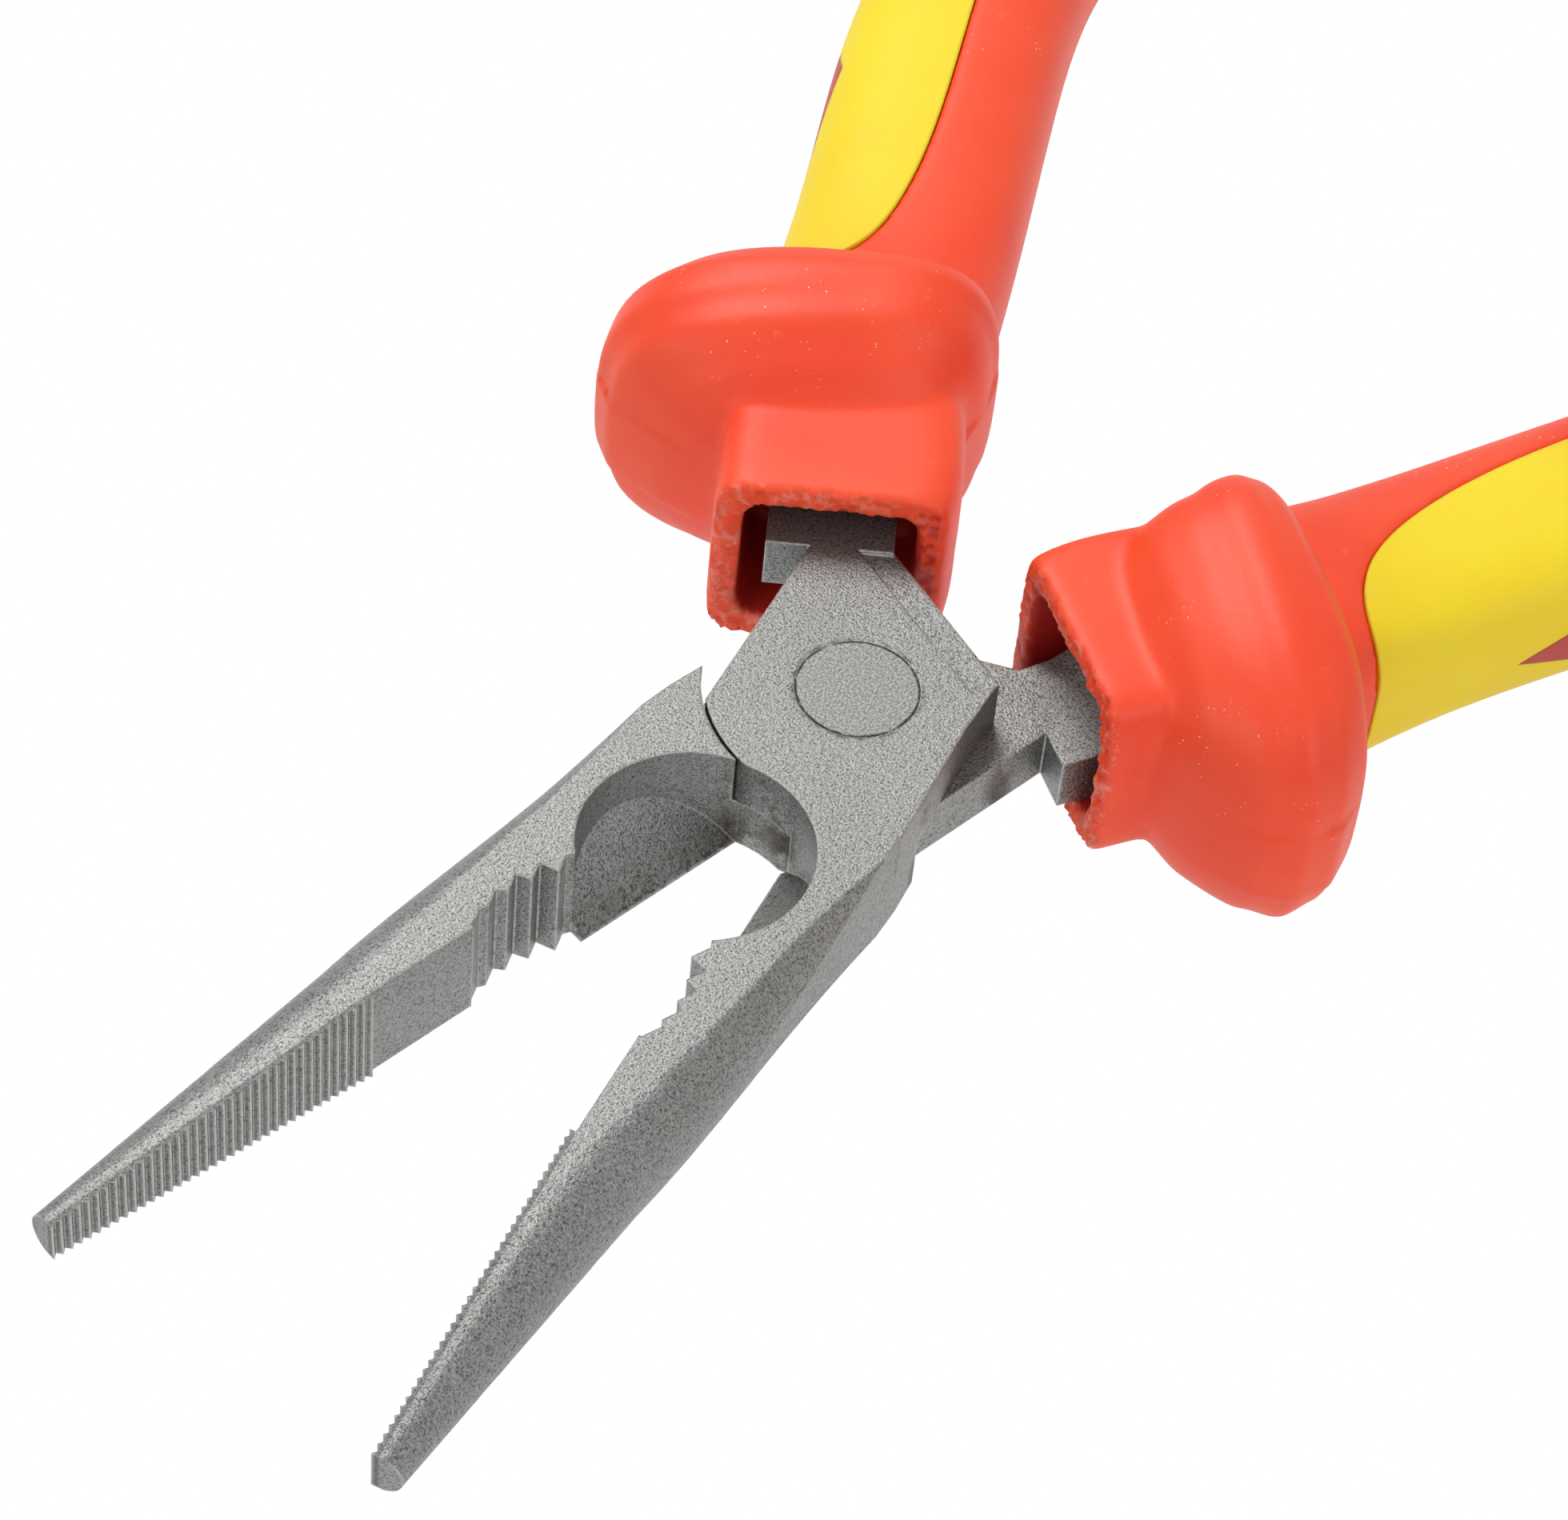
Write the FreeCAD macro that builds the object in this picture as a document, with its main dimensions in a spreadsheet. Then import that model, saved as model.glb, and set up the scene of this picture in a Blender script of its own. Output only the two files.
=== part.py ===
import FreeCAD, Part
import math
import os

import Sketcher
from FreeCAD import Placement, Rotation, Vector

# Insulated long nose pliers with a side cutter, in millimetres.
# The two levers turn on one rivet, whose axis is Z. The origin is the rivet's
# centre on the joint's back face, +X runs towards the jaw tips and +Z towards
# the front face. At rest the jaws stand open by twice half_opening.
#
# Each lever is drawn in a frame of its own, as it lies when the jaws are shut:
# x along the jaws, +y to the outside of its jaw, z = 0 on the lap plane where
# the two levers meet, and its lap plate on the +z side. The rear lever is the
# same forging turned over about X, so its plate lies at the back.

SIZES = {
    # joint
    "joint_thickness": 10.0,
    "half_opening": 11.0,
    "lap_radius": 12.3,
    "lap_gap": 0.28,
    "lap_play": 0.04,
    "rivet_head_radius": 5.07,
    "rivet_shank_radius": 4.0,
    "rivet_head_depth": 1.4,
    "rivet_play": 0.04,
    "head_width": 10.15,
    "head_outer": 9.7,
    "head_root_x": 11.5,
    "head_root_y": 9.7,
    "plate_back_x": 13.3,
    "plate_corner_x": 15.9,
    "plate_corner_y": 5.2,
    "plate_top_x": 6.3,
    "strip_width": 2.6,
    "strip_depth": 0.35,
    # jaws
    "jaw_reach": 80.0,
    "nose_start": 50.0,
    "tip_half_thickness": 2.03,
    "tip_depth": 2.6,
    "tip_ridge": 1.0,
    "jaw_taper": 0.128,
    "nose_ridge": 1.7,
    "bite_start": 49.7,
    "bite_pitch": 0.84,
    "bite_groove": 0.42,
    "relief_start": 39.4,
    "relief_depth": 0.55,
    "pipe_start": 28.6,
    "pipe_teeth": 5,
    "pipe_depth": 1.6,
    "pipe_tooth": 0.9,
    "cutter_x": 20.8,
    "cutter_y": 3.8,
    "cutter_radius": 9.3,
    "cutter_slope": 45.0,
    # tang, sleeve and grips, measured along the handle's axis from its mouth
    "tang_length": 84.0,
    "tang_half_width": 4.2,
    "tang_root_half_width": 5.3,
    "tang_half_height": 3.8,
    "handle_length": 108.0,
    "grip_half_width": 10.0,
    "grip_half_height": 7.8,
    "collar_outer": 9.8,
    "collar_inner": 10.4,
    "mouth_taper": 1.0,
    "collar_half_height": 9.1,
    "collar_lift": 1.2,
    "collar_wall": 2.4,
    "collar_hollow": 11.0,
    "guard_start": 9.0,
    "guard_length": 16.2,
    "guard_lean": 0.18,
    "guard_outer": 21.6,
    "guard_inner": 11.6,
    "guard_half_height": 14.7,
    "rear_guard_ahead": 3.5,
    "rear_mouth_behind": 0.6,
    "soft_start": 27.0,
    "soft_end": 94.0,
    "front_soft_reach": 1.0,
    "rear_soft_reach": 5.0,
    "soft_thickness": 2.4,
    "inlay_start": 38.5,
    "inlay_length": 21.0,
    "inlay_half_height": 4.8,
}

doc = FreeCAD.newDocument("long_nose_pliers")
sheet = doc.addObject("Spreadsheet::Sheet", "Sizes")
for row, (alias, number) in enumerate(SIZES.items(), start=1):
    sheet.set(f"A{row}", alias)
    sheet.set(f"B{row}", str(number))
    sheet.setAlias(f"B{row}", alias)
doc.recompute()


class Size:
    """A length that knows both its value and the expression that drives it."""

    def __init__(self, value, text):
        self.value = value
        self.text = text

    @staticmethod
    def of(other):
        """Returns the operand as a Size, whether it is one or a bare number."""
        return other if isinstance(other, Size) else Size(float(other), repr(float(other)))

    def __add__(self, other):
        other = Size.of(other)
        return Size(self.value + other.value, f"({self.text} + {other.text})")

    def __sub__(self, other):
        other = Size.of(other)
        return Size(self.value - other.value, f"({self.text} - {other.text})")

    def __mul__(self, other):
        other = Size.of(other)
        return Size(self.value * other.value, f"({self.text} * {other.text})")

    def __truediv__(self, other):
        other = Size.of(other)
        return Size(self.value / other.value, f"({self.text} / {other.text})")

    def __rsub__(self, other):
        return Size.of(other) - self

    def __neg__(self):
        return Size(-self.value, f"(-1 * {self.text})")

    __radd__ = __add__
    __rmul__ = __mul__


class Sheet:
    """Reads the spreadsheet: sizes.alias is a Size, sizes("alias") its number."""

    def __getattr__(self, alias):
        return Size(float(sheet.get(alias)), f"Sizes.{alias}")

    def __call__(self, alias):
        return float(sheet.get(alias))


sizes = Sheet()
half = sizes.joint_thickness / 2
OVERCUT = 2.0          # how far a cutting shape runs past the face it opens


# ---------------------------------------------------------------- sketches

def origin_plane(body, role):
    """Finds one of a body's own origin planes."""
    return next(item for item in body.Origin.OriginFeatures if item.Role == role)


def drive(holder, path, size):
    """Binds one property to a size's expression, or sets a bare number."""
    holder.setExpression(path, Size.of(size).text)


def outline(body, name, points, plane="XY_Plane", offset=None, arc_from=None):
    """Draws a closed sketch with every corner held to its own sizes.

    points are (x, y) pairs. The edge that leaves corner arc_from is an arc
    about the sketch's origin, and the corner after it keeps only its y.
    """
    sketch = body.newObject("Sketcher::SketchObject", name)
    sketch.AttachmentSupport = [(origin_plane(body, plane), "")]
    sketch.MapMode = "FlatFace"
    if offset is not None:
        drive(sketch, "AttachmentOffset.Base.z", offset)
    corners = [(Size.of(x), Size.of(y)) for x, y in points]
    spots = [Vector(x.value, y.value, 0) for x, y in corners]
    count = len(spots)
    for index, spot in enumerate(spots):
        after = spots[(index + 1) % count]
        if index == arc_from:
            circle = Part.Circle(Vector(0, 0, 0), Vector(0, 0, 1), spot.Length)
            first, last = (math.atan2(p.y, p.x) for p in (after, spot))
            sketch.addGeometry(Part.ArcOfCircle(circle, first, last))
        else:
            sketch.addGeometry(Part.LineSegment(spot, after))
    begin = [2 if index == arc_from else 1 for index in range(count)]
    for index in range(count):
        after = (index + 1) % count
        sketch.addConstraint(Sketcher.Constraint(
            "Coincident", index, 3 - begin[index], after, begin[after]))
    if arc_from is not None:
        sketch.addConstraint(Sketcher.Constraint("Coincident", arc_from, 3, -1, 1))
    for index, (x, y) in enumerate(corners):
        if arc_from is None or index != (arc_from + 1) % count:
            hold(sketch, "DistanceX", index, begin[index], x)
        hold(sketch, "DistanceY", index, begin[index], y)
    return sketch


def hold(sketch, kind, edge, end, size):
    """Holds one coordinate of a sketch's corner to a size."""
    number = sketch.addConstraint(
        Sketcher.Constraint(kind, -1, 1, edge, end, size.value))
    drive(sketch, f"Constraints[{number}]", size)


def pad(body, name, sketch, length):
    """Adds a Pad whose length follows a size."""
    feature = body.newObject("PartDesign::Pad", name)
    feature.Profile = sketch
    drive(feature, "Length", length)
    return feature


def pocket(body, name, sketch, length=None):
    """Adds a Pocket: through the whole body both ways when it has no length."""
    feature = body.newObject("PartDesign::Pocket", name)
    feature.Profile = sketch
    if length is None:
        feature.Midplane = True
        drive(feature, "Length", sizes.joint_thickness + 2 * OVERCUT)
    else:
        drive(feature, "Length", length)
    return feature


# ------------------------------------------------------------------- levers

def jaw_depth(x):
    """The jaw's depth from its gripping face to its round back, at x."""
    return sizes.tip_depth + sizes.jaw_taper * (sizes.jaw_reach - x)


def jaw_section(body, name, x, thickness, ridge, depth):
    """Draws one D-shaped section across a jaw: flat grip face, round back."""
    sketch = body.newObject("Sketcher::SketchObject", name)
    sketch.AttachmentSupport = [(origin_plane(body, "YZ_Plane"), "")]
    sketch.MapMode = "FlatFace"
    drive(sketch, "AttachmentOffset.Base.z", x)
    x, thickness, ridge, depth = (Size.of(v) for v in (x, thickness, ridge, depth))
    rise = depth.value - ridge.value
    radius = (thickness.value ** 2 + rise ** 2) / (2 * rise)
    centre = depth.value - radius
    top = math.atan2(thickness.value, ridge.value - centre)
    corner = [Vector(0, -thickness.value, 0), Vector(ridge.value, -thickness.value, 0),
              Vector(ridge.value, thickness.value, 0), Vector(0, thickness.value, 0)]
    sketch.addGeometry(Part.LineSegment(corner[0], corner[1]))
    sketch.addGeometry(Part.ArcOfCircle(
        Part.Circle(Vector(centre, 0, 0), Vector(0, 0, 1), radius), -top, top))
    sketch.addGeometry(Part.LineSegment(corner[2], corner[3]))
    sketch.addGeometry(Part.LineSegment(corner[3], corner[0]))
    for edge in range(4):
        sketch.addConstraint(Sketcher.Constraint("Coincident", edge, 2, (edge + 1) % 4, 1))
    for edge, across, up in ((0, Size.of(0), -thickness), (1, ridge, -thickness),
                             (2, ridge, thickness), (3, Size.of(0), thickness)):
        hold(sketch, "DistanceX", edge, 1, across)
        hold(sketch, "DistanceY", edge, 1, up)
    number = sketch.addConstraint(Sketcher.Constraint("Radius", 1, radius))
    drive(sketch, f"Constraints[{number}]",
          (thickness * thickness + (depth - ridge) * (depth - ridge))
          / (2 * (depth - ridge)))
    return sketch


def loft(body, name, sections, ruled):
    """Adds a loft through sections that are already drawn in the body."""
    feature = body.newObject("PartDesign::AdditiveLoft", name)
    feature.Profile = sections[0]
    feature.Sections = sections[1:]
    feature.Ruled = ruled
    return feature


def lever_head(side):
    """Makes one lever's forged head: jaw, lap plate and shoulder.

    side is the half's name. The gripping face, its serrations, the pipe
    teeth, the lap clearance and the rivet's seat are cut here.
    """
    body = doc.addObject("PartDesign::Body", f"{side}_head")

    # Round-backed jaw: full thickness to nose_start, then tapering to the tip.
    root = 6.0
    stations = (
        ("root", Size.of(root), 12.4, 14.0),
        ("heel", Size.of(18.0), 8.6, jaw_depth(18.0)),
        ("middle", Size.of(35.0), 5.0, jaw_depth(35.0)),
        ("nose", sizes.nose_start, sizes.nose_ridge, jaw_depth(sizes.nose_start)),
    )
    drawn = [jaw_section(body, f"{side}_{label}_section", x, half, ridge, depth)
             for label, x, ridge, depth in stations]
    loft(body, f"{side}_jaw", drawn, ruled=False)
    tip = jaw_section(body, f"{side}_tip_section", sizes.jaw_reach,
                      sizes.tip_half_thickness, sizes.tip_ridge, sizes.tip_depth)
    loft(body, f"{side}_nose", [drawn[-1], tip], ruled=True)

    # The side of the head is flat, so the jaw's round back runs out into it.
    far = 30.0
    pocket(body, f"{side}_side_flat", outline(body, f"{side}_side_line", [
        (0, sizes.head_root_y - 0.3), (sizes.head_root_x, sizes.head_root_y),
        (sizes.nose_start, jaw_depth(sizes.nose_start) + 1.0),
        (sizes.nose_start, far), (0, far)]))

    # Clearance for the other lever's plate: its arc makes the shoulder.
    clearing = body.newObject("PartDesign::SubtractiveCylinder", f"{side}_lap_clearing")
    clearing.AttachmentSupport = [(origin_plane(body, "XY_Plane"), "")]
    clearing.MapMode = "FlatFace"
    drive(clearing, "Radius", sizes.lap_radius + sizes.lap_gap)
    drive(clearing, "Height", half + OVERCUT)
    drive(clearing, "AttachmentOffset.Base.z", sizes.lap_play - half - OVERCUT)

    # The lap plate, with the arc that the other lever's shoulder follows.
    corner_x = (sizes("lap_radius") ** 2 - sizes("head_width") ** 2) ** 0.5
    plate = outline(body, f"{side}_plate_line", [
        (sizes.lap_radius, 0), (corner_x, -sizes.head_width),
        (-sizes.plate_back_x, -sizes.head_width),
        (-sizes.plate_corner_x, -sizes.plate_corner_y),
        (-sizes.plate_top_x, sizes.head_outer),
        (0, sizes.head_root_y - 0.3), (sizes.head_root_x, sizes.head_root_y),
        (sizes.lap_radius, sizes.head_root_y)],
        offset=sizes.lap_play, arc_from=0)
    pad(body, f"{side}_plate", plate, half - sizes.lap_play)

    # Relief behind the serrations, then the serrations themselves.
    pocket(body, f"{side}_relief", outline(body, f"{side}_relief_line", [
        (sizes.relief_start, -OVERCUT), (sizes.bite_start, -OVERCUT),
        (sizes.bite_start, sizes.relief_depth), (sizes.relief_start, sizes.relief_depth)]))
    groove = pocket(body, f"{side}_groove", outline(body, f"{side}_groove_line", [
        (sizes.bite_start, -sizes.bite_groove), (sizes.bite_start + sizes.bite_pitch, -sizes.bite_groove),
        (sizes.bite_start + sizes.bite_pitch, 0),
        (sizes.bite_start + sizes.bite_pitch / 2, sizes.bite_groove), (sizes.bite_start, 0)]))
    doc.recompute()
    bites = body.newObject("PartDesign::LinearPattern", f"{side}_serrations")
    bites.Originals = [groove]
    bites.Direction = (groove.Profile[0], ["H_Axis"])
    count = (sizes.jaw_reach - sizes.bite_start) / sizes.bite_pitch
    bites.Occurrences = int(count.value)
    drive(bites, "Length", sizes.bite_pitch * (int(count.value) - 1))
    body.Tip = bites

    # A bare sunk strip along the front plate's slanted edge.
    if side == "front":
        across, down = sizes.strip_width * 0.84, sizes.strip_width * 0.54
        strip = outline(body, "strip_line", [
            (across - sizes.plate_corner_x, -sizes.plate_corner_y - down),
            (across - sizes.plate_top_x, sizes.head_outer - down),
            (-sizes.plate_top_x - OVERCUT, sizes.head_outer + OVERCUT),
            (-sizes.plate_corner_x - OVERCUT, OVERCUT - sizes.plate_corner_y)], offset=half)
        pocket(body, "strip", strip, sizes.strip_depth)

    # Coarse pipe teeth on a shallow arc between the cutter and the relief.
    pitch = (sizes.relief_start - sizes.pipe_start) / sizes("pipe_teeth")
    teeth = [(sizes.pipe_start, -OVERCUT), (sizes.pipe_start, sizes.pipe_depth * 0.8)]
    for index in range(int(sizes("pipe_teeth"))):
        share = math.sin(math.pi * (index + 0.7) / (sizes("pipe_teeth") + 0.6))
        valley = sizes.pipe_start + pitch * (index + 0.3)
        crest = sizes.pipe_start + pitch * (index + 1)
        teeth.append((valley, sizes.pipe_depth * share + sizes.pipe_tooth))
        teeth.append((crest, sizes.pipe_depth * share))
    teeth.append((sizes.relief_start, -OVERCUT))
    pocket(body, f"{side}_pipe_teeth", outline(body, f"{side}_pipe_line", teeth))
    return body


def lap_tools(side):
    """Makes what is cut from a forged lever: cutter bevel and rivet seat."""
    up = 1 if side == "front" else -1      # which local side the front face is
    reach = 3 * sizes.cutter_radius
    wall = doc.addObject("Part::Cylinder", f"{side}_cutter_wall")
    drive(wall, "Radius", sizes.cutter_radius)
    drive(wall, "Height", sizes.joint_thickness + 2 * OVERCUT)
    place(wall, side, (sizes.cutter_x, -sizes.cutter_y, -half - OVERCUT))

    slope = doc.addObject("Part::Box", f"{side}_cutter_slope")
    for edge in ("Length", "Width", "Height"):
        drive(slope, edge, reach)
    tilt = Rotation(Vector(1, 0, 0), up * sizes("cutter_slope"))
    lowest = tilt.multVec(Vector(0, -reach.value / 2, -reach.value if up < 0 else 0))
    place(slope, side, (sizes.cutter_x - reach / 2, lowest.y, lowest.z - up * half.value), tilt)

    bevel = doc.addObject("Part::Common", f"{side}_cutter_recess")
    bevel.Base, bevel.Tool = wall, slope

    play = sizes.rivet_play if side == "front" else Size.of(0)
    bore = doc.addObject("Part::Cylinder", f"{side}_rivet_bore")
    drive(bore, "Radius", sizes.rivet_shank_radius + play)
    drive(bore, "Height", half + OVERCUT)
    place(bore, side, (0, 0, -OVERCUT))
    seat = doc.addObject("Part::Cone", f"{side}_rivet_seat")
    drive(seat, "Radius1", sizes.rivet_shank_radius + play)
    drive(seat, "Radius2", sizes.rivet_head_radius + play)
    drive(seat, "Height", sizes.rivet_head_depth)
    place(seat, side, (0, 0, half - sizes.rivet_head_depth))
    return [bevel, bore, seat]


def half_placement(side):
    """The lever frame's place: turned open about the pivot, rear turned over."""
    opening = sizes("half_opening")
    if side == "front":
        turn = Rotation(Vector(0, 0, 1), opening)
    else:
        turn = Rotation(Vector(0, 0, 1), -opening) * Rotation(Vector(1, 0, 0), 180)
    return Placement(Vector(0, 0, half.value), turn)


def place(item, side, spot=(0, 0, 0), turn=None):
    """Places an object, given where it lies in its lever's own frame."""
    corner = Vector(*(Size.of(v).value for v in spot))
    item.Placement = half_placement(side) * Placement(corner, turn or Rotation())


# ------------------------------------------------------------------ handles

# The handle's axis, from the middle of the collar's mouth to the rear end.
HANDLE_AXIS = [(-13.6, -9.0), (-24.0, -12.9), (-34.0, -15.9), (-45.0, -18.2),
               (-57.0, -21.3), (-70.0, -24.8), (-83.0, -27.6), (-96.0, -29.0),
               (-108.0, -28.9), (-120.0, -27.4)]
axis_curve = Part.BSplineCurve()
axis_curve.interpolate([Vector(x, y, 0) for x, y in HANDLE_AXIS])


def station(along):
    """The axis point, direction and outward normal at a distance from the mouth."""
    if along < 0:
        ahead = axis_curve.tangent(axis_curve.FirstParameter)[0]
        point = axis_curve.value(axis_curve.FirstParameter) + ahead * along
    else:
        at = axis_curve.parameterAtDistance(along, axis_curve.FirstParameter)
        point, ahead = axis_curve.value(at), axis_curve.tangent(at)[0]
    return point, ahead, Vector(-ahead.y, ahead.x, 0)


def ring(along, inner, outer, tall, power, lift=0.0, lean=0.0, count=24):
    """A closed rounded section across the handle: a superellipse.

    inner and outer are its reach towards and away from the other handle, tall
    its reach up and down, power how square its corners are, lift how far it
    is raised, and lean how much its outer side runs towards the joint.
    """
    point, behind, outward = station(along)
    spots = []
    for index in range(count):
        angle = math.pi + 2 * math.pi * index / count    # the seam is on the inner side
        across, rise = math.cos(angle), math.sin(angle)
        size = (abs(across) ** power + abs(rise) ** power) ** (-1 / power)
        side = outer if across > 0 else inner
        spots.append(point + (outward - behind * lean) * (side * across * size)
                     + Vector(0, 0, lift + tall * rise * size))
    curve = Part.BSplineCurve()
    curve.interpolate(spots, PeriodicFlag=True)
    return Part.Wire(curve.toShape())


def feature(name, side, shape):
    """Stores a shape drawn in a lever's frame as an object of the document."""
    item = doc.addObject("Part::Feature", name)
    item.Shape = shape
    item.Placement = half_placement(side)
    return item


def tang_shape():
    """The forged tang inside the sleeve: it rises from the plate to full height."""
    width, height = sizes("tang_half_width"), sizes("tang_half_height")
    root = sizes("tang_root_half_width")
    plate_low, plate_high = sizes("lap_play"), half.value
    sections = []
    for along, wide, low, high in (
            (-1.0, root, plate_low, plate_high),
            (2.0, root, plate_low - 0.4, plate_high),
            (5.0, root, -height * 0.55, plate_high),
            (9.0, (root + width) / 2, -height, plate_high - 0.3),
            (14.0, width, -height, height),
            (sizes("tang_length") / 2, width * 0.9, -height, height),
            (sizes("tang_length"), width * 0.6, -height * 0.7, height * 0.7)):
        point, _, outward = station(along)
        corners = [point + outward * (wide * across) + Vector(0, 0, level)
                   for across, level in ((-1, low), (1, low), (1, high), (-1, high))]
        sections.append(Part.makePolygon(corners + corners[:1]))
    return Part.makeLoft(sections, True, True)


def guard_ahead(side):
    """How much nearer the joint one half's guard sits than the front half's."""
    return sizes("rear_guard_ahead") if side == "rear" else 0.0


def mouth_place(side):
    """Where one half's mouth lies along its axis."""
    return sizes("rear_mouth_behind") if side == "rear" else 0.0


def collar_lift(side):
    """The collar's lift towards the front face, in the lever's own frame."""
    return sizes("collar_lift") * (1 if side == "front" else -1)


def handle_shape(inset, side):
    """The handle's whole outer form from the mouth to its rounded end.

    inset is how far inside the outer surface this copy of the form lies.
    """
    mouth, lift = mouth_place(side), collar_lift(side)
    length = sizes("handle_length")
    wide, tall = sizes("grip_half_width"), sizes("grip_half_height")
    collar_in, collar_out = sizes("collar_inner"), sizes("collar_outer")
    collar_tall = sizes("collar_half_height")
    table = [(mouth, collar_in - sizes("mouth_taper"), collar_out, collar_tall, 8.0, lift),
             (mouth + 4.0, collar_in, collar_out, collar_tall, 8.0, lift),
             (mouth + 8.0, collar_in, collar_out, collar_tall, 8.0, lift),
             (mouth + 16.0, wide, wide, collar_tall, 5.0, lift),
             (28.0, wide, wide, tall, 3.2, lift / 2), (45.0, wide, wide, tall, 2.8, 0.0),
             (62.0, wide, wide, tall, 2.8, 0.0), (80.0, wide - 0.4, wide - 0.4, tall, 2.8, 0.0),
             (length - 8.0, wide - 1.0, wide - 1.0, tall - 0.5, 2.8, 0.0),
             (length - 2.5, wide * 0.74, wide * 0.74, tall * 0.74, 2.4, 0.0),
             (length - inset, wide * 0.36, wide * 0.36, tall * 0.4, 2.2, 0.0)]
    sections = [ring(along, inner - inset, outer - inset, high - inset, power, raised)
                for along, inner, outer, high, power, raised in table
                if high > 1.5 * inset]
    return Part.makeLoft(sections, True, False)


def guard_shape(side):
    """The finger guard: a rounded flange that stands out on the outer side."""
    start, length = sizes("guard_start") - guard_ahead(side), sizes("guard_length")
    lift, lean = collar_lift(side), sizes("guard_lean")
    outer, inner = sizes("guard_outer"), sizes("guard_inner")
    tall = sizes("guard_half_height")
    foot, low = sizes("collar_outer") - 0.6, sizes("collar_half_height") - 0.8
    table = [(0.0, foot, foot + 0.4, low), (0.2, inner - 1.6, foot + 6.0, tall - 2.6),
             (0.42, inner - 0.5, outer - 1.6, tall - 0.8), (0.6, inner, outer, tall),
             (0.78, inner, outer - 0.4, tall), (0.92, inner - 0.6, outer - 3.0, tall - 1.0),
             (1.0, inner - 1.6, outer - 7.0, tall - 2.8)]
    sections = [ring(start + share * length, reach_in, reach_out, high, 3.0, lift, lean)
                for share, reach_in, reach_out, high in table]
    return Part.makeLoft(sections, True, True)


def hollow_shape(side):
    """The open space in the collar's mouth, round the steel."""
    wall = sizes("collar_wall")
    sections = [ring(mouth_place(side) + along, sizes("collar_inner") - wall - sizes("mouth_taper"),
                     sizes("collar_outer") - wall, sizes("collar_half_height") - wall,
                     9.0, collar_lift(side))
                for along in (-OVERCUT, sizes("collar_hollow"))]
    return Part.makeLoft(sections, True, True)


def soft_window(side):
    """A block over the outer half of the handle, where the soft grip lies."""
    first, last = sizes("soft_start") - guard_ahead(side), sizes("soft_end")
    reach, far = sizes(f"{side}_soft_reach"), 2.2 * sizes("grip_half_width")
    near = 0.9 * sizes("grip_half_width")
    bottom = Vector(0, 0, -1.5 * sizes("grip_half_height"))
    spots = []
    steps = 12
    for index in range(steps + 1):
        share = index / steps
        dip = (1 - abs(2 * share - 1) ** 2.4) ** (1 / 2.4)
        point, _, outward = station(first + (last - first) * share)
        spots.append(point + bottom + outward * (near - (near + reach) * dip))
    edge = Part.BSplineCurve()
    edge.interpolate(spots)
    ends = [station(along)[0] + station(along)[2] * far + bottom for along in (last, first)]
    rim = Part.Wire([edge.toShape(), Part.LineSegment(spots[-1], ends[0]).toShape(),
                     Part.LineSegment(ends[0], ends[1]).toShape(),
                     Part.LineSegment(ends[1], spots[0]).toShape()])
    return Part.Face(rim).extrude(bottom * -2)


def inlay_block():
    """A dart-shaped block, pointed towards the guard, through the outer side."""
    start, length = sizes("inlay_start"), sizes("inlay_length")
    tall = sizes("inlay_half_height")
    near, deep = 0.45 * sizes("grip_half_width"), 1.5 * sizes("grip_half_width")
    middle, ahead, outward = station(start + length / 2)
    corners = [middle + outward * near + ahead * (share * length) + Vector(0, 0, lift * tall)
               for share, lift in ((-0.5, 0), (-0.1, 0.6), (0.35, 1), (0.5, 0.7),
                                   (0.5, -0.7), (0.35, -1), (-0.1, -0.6))]
    face = Part.Face(Part.makePolygon(corners + corners[:1]))
    return face.extrude(outward * deep)


def cut(label, base, tools):
    """Cuts several tools from a base and gives the result its label."""
    tool = tools[0]
    if len(tools) > 1:
        tool = doc.addObject("Part::MultiFuse", f"{label}_tools")
        tool.Shapes = tools
    result = doc.addObject("Part::Cut", label)
    result.Base, result.Tool = base, tool
    result.Label = label
    return result


def make_half(side):
    """Makes every piece of one half and returns the objects that are kept."""
    head = lever_head(side)
    head.Placement = half_placement(side)
    tang = feature(f"{side}_tang", side, tang_shape())
    forging = doc.addObject("Part::MultiFuse", f"{side}_forging")
    forging.Shapes = [head, tang]
    lever = cut(f"{side}_lever", forging, lap_tools(side))

    form = feature(f"{side}_handle_form", side, handle_shape(0.0, side))
    core = feature(f"{side}_grip_bed", side, handle_shape(sizes("soft_thickness"), side))
    window = feature(f"{side}_grip_window", side, soft_window(side))
    skin = cut(f"{side}_handle_skin", form, [core])
    shell = doc.addObject("Part::Common", f"{side}_grip_shell")
    shell.Base, shell.Tool = skin, window
    dart = feature(f"{side}_inlay_block", side, inlay_block())
    inlay = doc.addObject("Part::Common", f"{side}_inlay")
    inlay.Base, inlay.Tool = shell, dart
    grip = cut(f"{side}_grip", shell, [dart])

    guard = feature(f"{side}_guard", side, guard_shape(side))
    body = doc.addObject("Part::MultiFuse", f"{side}_sleeve_form")
    body.Shapes = [form, guard]
    hollow = feature(f"{side}_collar_hollow", side, hollow_shape(side))
    sleeve = cut(f"{side}_sleeve", body, [shell, tang, hollow])
    return [lever, sleeve, grip, inlay]


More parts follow.
